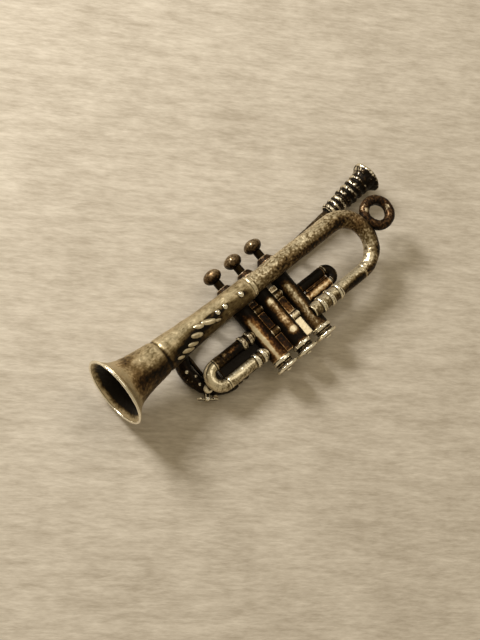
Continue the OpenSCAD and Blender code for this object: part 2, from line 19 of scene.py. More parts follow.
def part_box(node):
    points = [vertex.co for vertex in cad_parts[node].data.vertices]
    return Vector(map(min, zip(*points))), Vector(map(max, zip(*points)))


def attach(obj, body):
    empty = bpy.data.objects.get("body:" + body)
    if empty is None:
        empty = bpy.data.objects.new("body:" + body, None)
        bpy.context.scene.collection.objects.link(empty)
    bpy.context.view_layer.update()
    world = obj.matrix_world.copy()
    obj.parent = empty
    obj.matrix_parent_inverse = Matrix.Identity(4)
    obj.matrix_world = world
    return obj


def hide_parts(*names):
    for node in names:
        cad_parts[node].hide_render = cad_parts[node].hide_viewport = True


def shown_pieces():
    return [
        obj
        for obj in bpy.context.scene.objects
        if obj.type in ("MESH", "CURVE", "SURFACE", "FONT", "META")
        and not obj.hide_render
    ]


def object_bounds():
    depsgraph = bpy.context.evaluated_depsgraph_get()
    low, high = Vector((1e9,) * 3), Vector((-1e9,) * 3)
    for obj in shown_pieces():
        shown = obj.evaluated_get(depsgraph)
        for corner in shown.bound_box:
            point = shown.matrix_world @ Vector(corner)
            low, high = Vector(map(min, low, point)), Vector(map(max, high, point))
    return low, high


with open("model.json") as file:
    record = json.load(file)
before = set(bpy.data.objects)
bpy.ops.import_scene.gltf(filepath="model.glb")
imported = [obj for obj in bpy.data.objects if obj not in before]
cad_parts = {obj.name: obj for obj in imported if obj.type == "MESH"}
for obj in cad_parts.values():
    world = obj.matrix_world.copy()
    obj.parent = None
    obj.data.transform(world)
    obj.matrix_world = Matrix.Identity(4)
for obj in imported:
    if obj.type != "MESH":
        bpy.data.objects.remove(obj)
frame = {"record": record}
cad_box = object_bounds()

bodies = frame["record"]["behaviour"]["bodies"]
body_with = {node: body for body, nodes in bodies.items() for node in nodes}
print("nodes", len(body_with), "box", cad_box)

# %% [markdown]
# ## Work in millimetres
#
# A charm is so small that Blender's usual tolerances, such as the distance for merging
# points, are as large as its details. So each piece is shaped a thousand times too large,
# with one unit for one millimetre, and its mesh is shrunk into place at the end. The object
# itself stays at the origin, unturned and unscaled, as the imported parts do.

# %% Helpers for shaping
MM = 0.001


def only(thing):
    """Leaves one object selected and active, because an operator acts on all that is selected."""
    if bpy.context.mode != "OBJECT":
        bpy.ops.object.mode_set(mode="OBJECT")
    bpy.ops.object.select_all(action="DESELECT")
    thing.select_set(True)
    bpy.context.view_layer.objects.active = thing


def use_modifier(thing, kind, **settings):
    """Adds a modifier, sets it and applies it."""
    only(thing)
    modifier = thing.modifiers.new(kind.lower(), kind)
    for name, value in settings.items():
        setattr(modifier, name, value)
    bpy.ops.object.modifier_apply(modifier=modifier.name)


def join(things):
    """Joins several objects into the first one."""
    only(things[0])
    for thing in things:
        thing.select_set(True)
    bpy.ops.object.join()
    return bpy.context.view_layer.objects.active


def settle(thing, name):
    """Puts a piece's place into its mesh, shrinks it to metres and names it."""
    only(thing)
    bpy.ops.object.transform_apply(location=True, rotation=True, scale=True)
    thing.data.transform(Matrix.Scale(MM, 4))
    thing.name = name
    thing.data.name = name
    bpy.ops.object.shade_smooth()
    return thing


def node_box(node):
    """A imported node's lowest and highest corners in millimetres."""
    node_low, node_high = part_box(node)
    return Vector(node_low) / MM, Vector(node_high) / MM


def middle(node):
    """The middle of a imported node's box in millimetres."""
    node_low, node_high = node_box(node)
    return (node_low + node_high) / 2


whole_low, whole_high = (Vector(corner) / MM for corner in cad_box)
print("whole size in mm", [round(side, 1) for side in whole_high - whole_low])

# %% [markdown]
# ## The camera
#
# The charm lies on its side and the camera looks down at it from the bell's end and a little
# from below the valves, with the charm running up to the right across an upright frame.
# A long lens keeps the small object from looking bulged. The camera could be turned by hand
# until it looked right. Here its three axes are worked out from three angles, because an
# angle can be read, checked and changed by a person.

# %% Camera
AZIMUTH = math.radians(-22.8)
ELEVATION = math.radians(-4.0)
ROLL = math.radians(40.2)
LENS = 80
SENSOR = 36
DISTANCE = 142.6 * MM
PAN_RIGHT = -2.89 * MM
PAN_UP = -1.60 * MM
NEAREST = 0.005
FARTHEST = 10

floor_z = cad_box[0][2]
AIM_HEIGHT = 2.6 * MM
aim = Vector((0.0, 0.0, floor_z + AIM_HEIGHT))
towards = Vector((
    math.sin(AZIMUTH) * math.cos(ELEVATION),
    math.sin(ELEVATION),
    math.cos(AZIMUTH) * math.cos(ELEVATION),
))
flat_right = Vector((math.cos(AZIMUTH), 0, -math.sin(AZIMUTH)))
flat_up = towards.cross(flat_right)
right = math.cos(ROLL) * flat_right - math.sin(ROLL) * flat_up
up = math.sin(ROLL) * flat_right + math.cos(ROLL) * flat_up
place = aim + towards * DISTANCE + right * PAN_RIGHT + up * PAN_UP

camera_data = bpy.data.cameras.new("camera")
camera_data.lens = LENS
camera_data.sensor_width = SENSOR
camera_data.clip_start = NEAREST
camera_data.clip_end = FARTHEST
camera = bpy.data.objects.new("camera", camera_data)
bpy.context.scene.collection.objects.link(camera)
camera.matrix_world = Matrix((
    (right.x, up.x, towards.x, place.x),
    (right.y, up.y, towards.y, place.y),
    (right.z, up.z, towards.z, place.z),
    (0, 0, 0, 1),
))
bpy.context.scene.camera = camera
print("camera at", [round(v / MM, 1) for v in place], "mm")

# %% [markdown]
# ## Finishes
#
# Antiqued metal is made by blackening the whole casting and then rubbing it. What the cloth
# reaches turns bright and what it misses stays black. So one material does it all, led by
# numbers stored on each point of a mesh: "open", how much of the sky the point sees, "edge",
# how sharply the surface bulges there, a third number for how much more or less than its
# neighbours the place has been handled together with painted light and shade (the lit side of
# each piece, painted highlights and painted shade), and "warm", how much copper shows there.
# Noise breaks them up. The mix picks the colour. Roughness and metalness follow it, because
# rubbed metal is smooth and bare while the patina on the rest is a dull crust.

# %% Helpers for shader nodes


def grow(tree, kind, **settings):
    """Adds a shader node and sets its properties."""
    made = tree.nodes.new(kind)
    for name, value in settings.items():
        setattr(made, name, value)
    return made


def wire(tree, source, target):
    """Joins an output to an input."""
    tree.links.new(source, target)


def fresh(name):
    """A new material with its node tree, its shader and the piece's own coordinates."""
    material = bpy.data.materials.new(name)
    material.use_nodes = True
    tree = material.node_tree
    coords = grow(tree, "ShaderNodeTexCoord").outputs["Object"]
    return material, tree, tree.nodes["Principled BSDF"], coords


def noise(tree, coords, scale, detail=4.0, roughness=0.6):
    """Soft random blotches, finer as scale rises."""
    made = grow(tree, "ShaderNodeTexNoise")
    made.inputs["Scale"].default_value = scale
    made.inputs["Detail"].default_value = detail
    made.inputs["Roughness"].default_value = roughness
    wire(tree, coords, made.inputs["Vector"])
    return made.outputs["Fac"]


def sums(tree, operation, first, second, third=None, clamp=False):
    """A Math node. A number or an output may stand on each side."""
    made = grow(tree, "ShaderNodeMath", operation=operation, use_clamp=clamp)
    for socket, value in zip(made.inputs, (first, second, third)):
        if value is None:
            continue
        if isinstance(value, (int, float)):
            socket.default_value = value
        else:
            wire(tree, value, socket)
    return made.outputs[0]


def ramp(tree, source, stops):
    """A colour ramp through (place, colour) stops."""
    made = grow(tree, "ShaderNodeValToRGB")
    band = made.color_ramp
    while len(band.elements) < len(stops):
        band.elements.new(0.5)
    for element, (spot, colour) in zip(band.elements, stops):
        element.position = spot
        element.color = colour
    wire(tree, source, made.inputs["Fac"])
    return made.outputs["Color"]


def span(tree, source, start, end):
    """Turns a 0 to 1 number into a start to end one."""
    made = grow(tree, "ShaderNodeMapRange")
    made.inputs["To Min"].default_value = start
    made.inputs["To Max"].default_value = end
    wire(tree, source, made.inputs["Value"])
    return made.outputs["Result"]


def stored(tree, name):
    """A number that is kept on each point of the mesh."""
    return grow(tree, "ShaderNodeAttribute", attribute_name=name).outputs["Fac"]


def weighed(tree, *pairs):
    """The sum of (output, weight) pairs."""
    total = None
    for output, weight in pairs:
        part = sums(tree, "MULTIPLY", output, weight)
        total = part if total is None else sums(tree, "ADD", total, part)
    return total


def raise_skin(tree, shader, height, strength, depth):
    """A bump of at most depth metres from a height pattern."""
    bump = grow(tree, "ShaderNodeBump")
    bump.inputs["Strength"].default_value = strength
    bump.inputs["Distance"].default_value = depth
    wire(tree, height, bump.inputs["Height"])
    wire(tree, bump.outputs["Normal"], shader.inputs["Normal"])


print("helpers ready for", bpy.app.version_string)

# %% The antique finish
PATINA = (0.006, 0.0035, 0.0012, 1)
OPEN_WEIGHT = 0.95
EDGE_WEIGHT = 0.8
BLACK_POINT = 0.68
COPPER = [
    (0.0, PATINA), (0.2, (0.035, 0.012, 0.004, 1)), (0.5, (0.23, 0.105, 0.03, 1)),
    (0.75, (0.62, 0.38, 0.16, 1)), (1.0, (0.95, 0.80, 0.55, 1)),
]
# What is left of a tone's red, green and blue where the patina is thin
UNDER_PATINA = (0.28, 0.21, 0.12)


def swing(tree, pattern, width):
    """A pattern moved to either side of nought, width wide."""
    return sums(tree, "MULTIPLY", sums(tree, "SUBTRACT", pattern, 0.5), width)


def antique(name, tone, bright, level, speckle=0.5, mottle=0.6, smooth=0.26):
    """Blackened and rubbed metal, with painted light and shade read from its points. level shifts
    the whole piece from black towards bright.
    """
    material, tree, shader, coords = fresh(name)
    broad = noise(tree, coords, 620, 5, 0.65)
    fine = noise(tree, coords, 2600, 6, 0.75)

    # Rub and painted light: open places and edges gain and noise spreads the boundary
    wear_and_light = sums(tree, "MULTIPLY_ADD", stored(tree, "open"), OPEN_WEIGHT, level - BLACK_POINT)
    wear_and_light = sums(tree, "MULTIPLY_ADD", stored(tree, "edge"), EDGE_WEIGHT, wear_and_light)
    # Painted highlights, painted shade and the lit side of each piece come in here with the
    # rubbing
    wear_and_light = sums(tree, "ADD", wear_and_light, stored(tree, "rub_and_light"))
    wear_and_light = sums(tree, "ADD", wear_and_light, swing(tree, broad, mottle))
    wear_and_light = sums(tree, "ADD", wear_and_light, swing(tree, fine, speckle), clamp=True)

    # The colour: silver or copper from the same rub
    dark_tone = tuple(c * left for c, left in zip(tone[:3], UNDER_PATINA)) + (1,)
    cool = ramp(tree, wear_and_light, [
        (0.0, PATINA), (0.2, dark_tone), (0.48, tone), (0.8, bright), (1.0, bright),
    ])
    coppery = ramp(tree, wear_and_light, COPPER)
    mix = grow(tree, "ShaderNodeMix", data_type="RGBA")
    colours_in = [socket for socket in mix.inputs if socket.type == "RGBA"]
    colour_out = next(socket for socket in mix.outputs if socket.type == "RGBA")
    wire(tree, stored(tree, "warm"), mix.inputs["Factor"])
    wire(tree, cool, colours_in[0])
    wire(tree, coppery, colours_in[1])
    wire(tree, colour_out, shader.inputs["Base Color"])
    wire(tree, span(tree, wear_and_light, 0.5, smooth), shader.inputs["Roughness"])
    wire(tree, span(tree, wear_and_light, 0.6, 1.0), shader.inputs["Metallic"])
    shader.inputs["Specular IOR Level"].default_value = 0.25

    # Cast skin: shallow dimples and a fine grain
    dimples = noise(tree, coords, 1900, 3)
    pits = noise(tree, coords, 7000, 3)
    grain = weighed(tree, (dimples, 0.6), (pits, 0.25))
    raise_skin(tree, shader, grain, 0.6, 0.00006)
    return material


SILVER = antique("antique silver", (0.20, 0.152, 0.075, 1), (0.78, 0.69, 0.49, 1), 0.22,
                 speckle=0.3, mottle=0.75, smooth=0.3)
BELL_SKIN = antique("rubbed bell skin", (0.165, 0.124, 0.056, 1), (0.52, 0.43, 0.27, 1), 0.24,
                    speckle=0.55, mottle=1.0, smooth=0.4)
BLACKENED = antique("blackened silver", (0.07, 0.048, 0.02, 1), (0.95, 0.87, 0.68, 1), -0.08,
                    speckle=0.5)
CRUST = antique("unrubbed crust", (0.04, 0.026, 0.01, 1), (0.80, 0.72, 0.55, 1), -0.3,
                speckle=0.35)
BEADED = antique("beads in black", (0.15, 0.115, 0.06, 1), (0.95, 0.88, 0.70, 1), 0.10,
                 speckle=0.55)
BRONZE = antique("brown bronze", (0.15, 0.095, 0.036, 1), (0.92, 0.80, 0.56, 1), 0.10,
                 smooth=0.4)
BUTTON_SKIN = antique("handled bronze", (0.12, 0.086, 0.045, 1), (0.52, 0.43, 0.29, 1), -0.08,
                      speckle=0.4, smooth=0.22)
EYE_SKIN = antique("dark ring bronze", (0.07, 0.042, 0.02, 1), (0.60, 0.50, 0.34, 1), -0.26,
                   speckle=0.4, smooth=0.2)
POLISHED = antique("polished edge", (0.34, 0.28, 0.17, 1), (0.96, 0.90, 0.75, 1), 0.44,
                   speckle=0.35, mottle=0.4, smooth=0.18)
print("cast finishes", len(bpy.data.materials))

# %% [markdown]
# ## Sliding metal, wire and cork
#
# Legs of slides, pistons and stems are never blackened, because they rub on their tubes. They
# get a drawn finish, with fine scratches along the way that they slide: a noise that is
# stretched along one axis makes them. The water key's cork is the one soft part, and its cells
# come from a Voronoi pattern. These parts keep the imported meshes, since a turned cylinder is
# already the right shape.

# %% Drawn metal
SCRATCH_STRETCH = 0.06


def drawn(name, tone, along, roughness=0.24):
    """Bright metal with scratches stretched along one axis."""
    material, tree, shader, coords = fresh(name)
    stretch = grow(tree, "ShaderNodeMapping")
    stretch.inputs["Scale"].default_value = tuple(
        SCRATCH_STRETCH if axis == along else 1.0 for axis in "XYZ"
    )
    wire(tree, coords, stretch.inputs["Vector"])
    streaks = noise(tree, stretch.outputs["Vector"], 6000, 4)
    patches = noise(tree, coords, 900, 4)
    mix = weighed(tree, (streaks, 0.6), (patches, 0.5))
    low_tone = tuple(c * 0.55 for c in tone[:3]) + (1,)
    wire(tree, ramp(tree, mix, [(0.3, low_tone), (0.7, tone)]), shader.inputs["Base Color"])
    wire(tree, span(tree, mix, roughness + 0.2, roughness), shader.inputs["Roughness"])
    shader.inputs["Metallic"].default_value = 1.0
    raise_skin(tree, shader, streaks, 0.3, 0.00001)
    return material


SLIDE_METAL = drawn("drawn slide metal", (0.70, 0.67, 0.58, 1), "X")
VALVE_METAL = drawn("drawn valve metal", (0.62, 0.60, 0.54, 1), "Y")
STEM_METAL = drawn("darkened stem metal", (0.022, 0.014, 0.006, 1), "Y", 0.35)
SPRING_METAL = drawn("spring wire", (0.60, 0.61, 0.62, 1), "Z", 0.2)
print("with drawn metals", len(bpy.data.materials))

# %% Cork


def cork_finish():
    """Small brown cells with darker gaps."""
    material, tree, shader, coords = fresh("cork")
    cells = grow(tree, "ShaderNodeTexVoronoi")
    cells.inputs["Scale"].default_value = 14000
    wire(tree, coords, cells.inputs["Vector"])
    spots = noise(tree, coords, 5200, 5)
    mix = weighed(tree, (cells.outputs["Distance"], 0.5), (spots, 0.6))
    browns = ramp(tree, mix, [
        (0.2, (0.16, 0.085, 0.035, 1)), (0.45, (0.46, 0.29, 0.14, 1)),
        (0.8, (0.62, 0.44, 0.26, 1)),
    ])
    wire(tree, browns, shader.inputs["Base Color"])
    shader.inputs["Roughness"].default_value = 0.85
    raise_skin(tree, shader, mix, 0.5, 0.00002)
    return material


CORK = cork_finish()
print("finishes", len(bpy.data.materials))

# %% [markdown]
# ## The cast skin
#
# A small casting has no sharp corners and no true cylinders. The quick way to that look is
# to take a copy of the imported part, remesh it into even little squares, let a smooth pass
# round its edges, and push the surface in and out with two soft noises: a slow one for the
# wax model's uneven hand and a quick one for its bubbles. The noise is read in the
# instrument's own space, so neighbouring pieces swell together and their seams stay shut.

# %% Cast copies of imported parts
slow_noise = bpy.data.textures.new("slow swell", "CLOUDS")
slow_noise.noise_scale = 1.1
slow_noise.noise_depth = 2
quick_noise = bpy.data.textures.new("quick bubbles", "CLOUDS")
quick_noise.noise_scale = 0.34
quick_noise.noise_depth = 3

# The grey of the noise that leaves the surface where it is
STILL = 0.42
MERGE = 0.002

cast_pieces = []


def lumps(thing, swell, bubbles):
    """Pushes a millimetre-sized surface in and out."""
    for texture, strength in ((slow_noise, swell), (quick_noise, bubbles)):
        use_modifier(thing, "DISPLACE", texture=texture, texture_coords="LOCAL",
                     strength=strength, mid_level=STILL)


def finish_cast(thing, name, nodes, finish, body=None):
    """Gives a piece its finish, joins it to the body it moves with and hides the nodes it
    replaces.
    """
    settle(thing, name)
    thing.data.materials.clear()
    thing.data.materials.append(finish)
    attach(thing, body or body_with[nodes[0]])
    if nodes:
        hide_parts(*nodes)
    cast_pieces.append(thing)
    return thing


def cast_copy(name, nodes, finish, voxel=0.07, swell=0.06, bubbles=0.04, soften=3):
    """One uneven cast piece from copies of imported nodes."""
    copies = []
    for node in nodes:
        source = bpy.data.objects[node]
        copy = bpy.data.objects.new(node + "_copy", source.data.copy())
        bpy.context.scene.collection.objects.link(copy)
        copy.data.transform(Matrix.Scale(1 / MM, 4))
        copies.append(copy)
    piece = join(copies) if len(copies) > 1 else copies[0]
    only(piece)
    bpy.ops.object.mode_set(mode="EDIT")
    bpy.ops.mesh.select_all(action="SELECT")
    bpy.ops.mesh.remove_doubles(threshold=MERGE)
    bpy.ops.object.mode_set(mode="OBJECT")
    use_modifier(piece, "REMESH", mode="VOXEL", voxel_size=voxel)
    use_modifier(piece, "SMOOTH", factor=0.5, iterations=soften)
    lumps(piece, swell, bubbles)
    return finish_cast(piece, name, nodes, finish)


print("noise sizes in mm", slow_noise.noise_scale, quick_noise.noise_scale)

# %% [markdown]
# ## The bell
#
# The bell is the piece that everyone looks at, so it is built and not copied. It
# starts as a ring at the rim. The ring is extruded backwards again and again, and each new
# ring is scaled to the radius that the imported bell has there. Rings stand close together in
# the flare, where the radius changes fast. A Solidify modifier gives the sheet its
# thickness, and one subdivision makes it fine enough for lumps.

# %% Read the bell's outline
rim_low, rim_high = node_box("bell_rim_wire")
bell_axis = Vector((0, (rim_low.y + rim_high.y) / 2, (rim_low.z + rim_high.z) / 2))
rim_x = rim_low.x
OUTLINE_STEPS = 60


def outline(node):
    """Outer radius about the bell's axis at each place along it where the node has points."""
    vertices = bpy.data.objects[node].data.vertices
    points = np.empty(len(vertices) * 3)
    vertices.foreach_get("co", points)
    points = points.reshape(-1, 3) / MM
    radius = np.hypot(points[:, 1] - bell_axis.y, points[:, 2] - bell_axis.z)
    along = points[:, 0]
    edges = np.linspace(along.min(), along.max(), OUTLINE_STEPS + 1)
    spots, radii = [], []
    for start, end in zip(edges[:-1], edges[1:]):
        inside = (along >= start - 1e-6) & (along <= end + 1e-6)
        if inside.any():
            best = np.argmax(np.where(inside, radius, 0))
            spots.append(along[best])
            radii.append(radius[best])
    return np.array(spots), np.array(radii)


bell_spots, bell_radii = outline("bell")
order = np.argsort(bell_spots)
bell_spots, bell_radii = bell_spots[order], bell_radii[order]


def bell_radius(x):
    """Outer radius of the bell at x."""
    return float(np.interp(x, bell_spots, bell_radii))


bell_end = node_box("bell")[1].x
print("bell radius at rim and end", round(bell_radius(rim_x), 2), round(bell_radius(bell_end), 2))

# %% Extrude the bell ring by ring
BELL_SIDES = 104
BELL_RINGS = 76
BELL_WALL = 0.2
# Above 1, the rings stand closer together towards the rim
BELL_CROWDING = 1.7


def ring_tube(stations, sides):
    """Extrudes a ring along +X about the bell's axis through (x, radius) stations."""
    x, radius = stations[0]
    bpy.ops.object.select_all(action="DESELECT")
    bpy.ops.mesh.primitive_circle_add(
        vertices=sides, radius=radius, location=(x, bell_axis.y, bell_axis.z),
        rotation=(0, math.pi / 2, 0),
    )
    tube = bpy.context.active_object
    bpy.ops.object.transform_apply(location=True, rotation=True, scale=True)
    bpy.ops.object.mode_set(mode="EDIT")
    bpy.ops.mesh.select_all(action="SELECT")
    for new_x, new_radius in stations[1:]:
        bpy.ops.mesh.extrude_region_move(
            TRANSFORM_OT_translate={"value": (new_x - x, 0, 0)}
        )
        scale = new_radius / radius
        bpy.ops.transform.resize(
            value=(1, scale, scale), center_override=(new_x, bell_axis.y, bell_axis.z)
        )
        x, radius = new_x, new_radius
    bpy.ops.mesh.select_all(action="SELECT")
    bpy.ops.mesh.normals_make_consistent(inside=False)
    bpy.ops.object.mode_set(mode="OBJECT")
    return tube


bell_start = bell_spots[0]
shares = [(i / (BELL_RINGS - 1)) ** BELL_CROWDING for i in range(BELL_RINGS)]
ring_xs = [bell_start + share * (bell_end - bell_start) for share in shares]
stations = [(x, bell_radius(x)) for x in ring_xs]
bell = ring_tube(stations, BELL_SIDES)
use_modifier(bell, "SOLIDIFY", thickness=BELL_WALL, offset=-1)
use_modifier(bell, "SUBSURF", levels=1, render_levels=1)
lumps(bell, 0.07, 0.06)
bell = finish_cast(bell, "bell_skin", ["bell"], BELL_SKIN)
print("bell faces", len(bell.data.polygons))

# %% [markdown]
# ## The other parts of the bell's side
#
# The bell's tube runs back from a seam ring, turns round in the bow and comes home through
# three beads into the first valve. These are plain pipes, so they follow as cast copies. The
# straight tube and the bow were filed into one, so they are copied as one piece with no seam.
# Beads take a finer remesh, so that their rings survive. The wire in the rim and the eye for
# a jump ring get their own finishes: the rim is the brightest place and the eye the darkest.

# %% Bell side
cast_copy("rolled_rim", ["bell_rim_wire"], POLISHED, voxel=0.06, swell=0.05, bubbles=0.03,
          soften=1)
cast_copy("tube_and_bow", ["bell_tube", "bell_bow"], SILVER, voxel=0.072, swell=0.12,
          bubbles=0.07)
cast_copy("seam_ring", ["bell_ferrule"], SILVER, voxel=0.05)
cast_copy("return_pipe", ["return_tube"], SILVER, voxel=0.055)
cast_copy("return_beads", ["return_ferrules"], BEADED, voxel=0.05)
cast_copy("hanging_eye", ["eyelet"], EYE_SKIN, voxel=0.06, swell=0.12, bubbles=0.06)
print("cast pieces so far", len(cast_pieces))

# %% [markdown]
# ## The mouthpiece's side
#
# The leadpipe runs behind the bell's tube, and the player blows into a cup at its end. On the
# charm the cup and its beads are a rough lump, so they get the strongest swell of all. The
# patina was hardly rubbed off here, which is why the crust finish starts far below the others.

# %% Mouthpiece side
cast_copy("lead_pipe", ["leadpipe"], BLACKENED, voxel=0.055, swell=0.08)
cast_copy("receiver", ["mouthpiece_receiver"], BLACKENED, voxel=0.05, swell=0.24, bubbles=0.1)
cast_copy("mouthpiece_skin", ["mouthpiece"], CRUST, voxel=0.06, swell=0.3, bubbles=0.1)
print("cast pieces so far", len(cast_pieces))

# %% [markdown]
# ## The valves
#
# Three upright cylinders stand side by side, each with a cap at both ends and a button on a
# stem. One loop makes all three, because they are alike on the real instrument too. Their
# differences come later, from how each was rubbed. The short knuckle pipes and flat webs
# between them, and the saddles and braces that hold the long pipes, belong to the same body.

# %% Valves
for number in (1, 2, 3):
    cast_copy(f"casing_{number}", [f"valve_casing_{number}"], BRONZE, voxel=0.065, swell=0.1)
    cast_copy(f"upper_cap_{number}", [f"top_cap_{number}"], BLACKENED, voxel=0.05, swell=0.1)
    cast_copy(f"lower_cap_{number}", [f"bottom_cap_{number}"], POLISHED, voxel=0.055, swell=0.12,
              bubbles=0.08, soften=2)
    cast_copy(f"button_{number}", [f"finger_button_{number}"], BUTTON_SKIN, voxel=0.06,
              swell=0.12)
cast_copy("knuckles", ["casing_knuckles"], BRONZE, voxel=0.05)
cast_copy("webs", ["casing_webs"], BRONZE, voxel=0.06)
cast_copy("saddles_bell", ["bell_saddles"], BLACKENED, voxel=0.05, swell=0.02, bubbles=0.02)
cast_copy("saddles_lead", ["leadpipe_saddles"], BLACKENED, voxel=0.04, swell=0.02, bubbles=0.02)
cast_copy("braces", ["bell_braces"], CRUST, voxel=0.05)
print("cast pieces so far", len(cast_pieces))

# %% [markdown]
# ## The slides
#
# Four bent pipes pull out to tune the instrument. The bow of each is its own piece, because
# it moves, and the pipes that it slides into stay. A small swell is used where a bow slides
# close to its neighbours. The tuning slide lies deepest and was never rubbed, so all of it is
# crust, while the third slide lies in front and is bright.

# %% Slides
cast_copy("tuning_bow", ["tuning_slide_bow"], CRUST, voxel=0.06, swell=0.12, bubbles=0.06)
cast_copy("tuning_bar", ["tuning_slide_brace"], CRUST, voxel=0.05)
cast_copy("tuning_pipe", ["tuning_lower_tube"], CRUST, voxel=0.05)
cast_copy("tuning_beads", ["tuning_ferrules"], CRUST, voxel=0.05)
cast_copy("third_bow", ["third_slide_bow"], SILVER, voxel=0.055, swell=0.08)
cast_copy("third_pipes", ["third_slide_tubes"], SILVER, voxel=0.05, swell=0.08)
cast_copy("third_beads", ["third_slide_ferrules"], BEADED, voxel=0.05, swell=0.12)
cast_copy("first_bow", ["first_slide_bow"], BLACKENED, voxel=0.055, swell=0.08)
cast_copy("first_pipes", ["first_slide_tubes"], BRONZE, voxel=0.05, swell=0.08)
cast_copy("second_bow", ["second_slide_bow"], SILVER, voxel=0.045, swell=0.05)
cast_copy("second_pipes", ["second_slide_tubes"], SILVER, voxel=0.045, swell=0.03)
print("cast pieces so far", len(cast_pieces))

# %% [markdown]
# ## The water key
#
# A small sprung lever on the tuning slide lets out the water. It is the finest part here, so
# it gets the finest remesh and hardly any swell: a coarse one would weld its saddle shut.

# %% Water key
cast_copy("key_nipple", ["water_key_nipple"], BLACKENED, voxel=0.035, swell=0.02, bubbles=0.02,
          soften=1)
cast_copy("key_saddle", ["water_key_saddle"], BLACKENED, voxel=0.03, swell=0.02, bubbles=0.01,
          soften=1)
cast_copy("key_lever", ["water_key_lever"], BLACKENED, voxel=0.035, swell=0.02, bubbles=0.02,
          soften=1)
print("cast pieces", len(cast_pieces))

# %% [markdown]
# ## The working parts
#
# Pistons, stems, springs, legs, the key's pin and its cork were turned, drawn or cut, not
# cast. They need no lumps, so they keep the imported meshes, and only their finish is changed.

# %% Working parts
worked = {
    "water_key_pin": SLIDE_METAL, "water_key_cork": CORK,
    **{f"{slide}_slide_legs": SLIDE_METAL for slide in ("tuning", "third", "first", "second")},
}
for number in (1, 2, 3):
    worked[f"piston_{number}"] = VALVE_METAL
    worked[f"valve_stem_{number}"] = STEM_METAL
    worked[f"valve_spring_{number}"] = SPRING_METAL
for node, finish in worked.items():
    for material_slot in bpy.data.objects[node].material_slots:
        material_slot.material = finish
print("packed meshes kept", len(worked))

# %% [markdown]
# ## The rope and the beads on the bell
#
# A short twist of rope and a row of beads are cast onto the near side of the bell. They could
# be pressed out of the bell's own mesh, but it would need far more points. So each strand of
# the rope is a small ball, drawn out long and laid slantwise, half sunk in the bell. The
# beads are plain balls. Each is placed by the bell's own radius there, so it stays half sunk.

# %% Balls on the bell


def ball(radius, stretch, location, turn):
    """A ball, stretched in edit mode, turned and moved to its place."""
    bpy.ops.object.select_all(action="DESELECT")
    bpy.ops.mesh.primitive_uv_sphere_add(segments=20, ring_count=12, radius=radius)
    made = bpy.context.active_object
    bpy.ops.object.mode_set(mode="EDIT")
    bpy.ops.mesh.select_all(action="SELECT")
    bpy.ops.transform.resize(value=stretch)
    bpy.ops.object.mode_set(mode="OBJECT")
    made.matrix_world = Matrix.Translation(location) @ turn
    return made


def on_bell(x, around, sink):
    """A place on the bell's near side, turned from its top by an angle towards -Y."""
    reach = bell_radius(x) - sink
    return Vector((
        x, bell_axis.y - reach * math.sin(around), bell_axis.z + reach * math.cos(around),
    ))


def cast_on(balls, name, swell, bubbles, finish, body):
    """Joins balls into one lumpy piece that only the visible model has."""
    piece = join(balls)
    lumps(piece, swell, bubbles)
    piece = finish_cast(piece, name, [], finish, body=body)
    print(name, "faces", len(piece.data.polygons))
    return piece


# %% Strands of the rope
# Each ridge: place behind the rim, height above the bell's axis, length and width
RIDGES = [
    (11.5, -0.3, 0.98, 0.33), (10.35, -0.08, 0.66, 0.28), (9.65, -0.58, 0.86, 0.32),
    (8.9, -0.95, 0.8, 0.27), (8.1, -1.1, 0.98, 0.3), (7.1, -1.2, 0.56, 0.25),
    (12.4, -0.6, 0.55, 0.22),
]
ROPE_SLANT = math.radians(-21)
STRAND = 0.3
STRAND_PROUD = 0.03
strands = []
for x, height, long, wide in RIDGES:
    around = math.asin(-height / bell_radius(rim_x + x))
    turn = Matrix.Rotation(around, 4, "X") @ Matrix.Rotation(ROPE_SLANT, 4, "Z")
    spot = on_bell(rim_x + x, around, -STRAND_PROUD)
    strands.append(ball(STRAND, (long / STRAND, wide / STRAND, 1.05), spot, turn))
cast_on(strands, "rope_on_bell", 0.05, 0.06, SILVER, "trumpet")

# %% Beads in a row
# Each bead: place behind the rim and radius
BEADS = [(12.9, 0.33), (13.9, 0.34), (14.9, 0.2), (16.05, 0.37)]
BEAD_TILT = math.radians(7)
beads = []
for x, radius in BEADS:
    spot = on_bell(rim_x + x, BEAD_TILT, 0.0)
    beads.append(ball(radius, (1, 1, 0.95), spot, Matrix.Rotation(BEAD_TILT, 4, "X")))
cast_on(beads, "beads_on_bell", 0.05, 0.04, POLISHED, "trumpet")

# %% [markdown]
# ## Crust between close pipes
#
# A casting this small can't be open between pipes that nearly touch, so the gap inside the
# third slide fills with a thin web, and the patina stays on it. A web could be cut from the
# pipes' own mesh, but a plate that runs into the pipes on both sides is simpler and leaves
# them round. One half belongs to the fixed pipes and the other to the bow, so the slide can
# still be drawn. The bow's half narrows towards the bend.

# %% A web


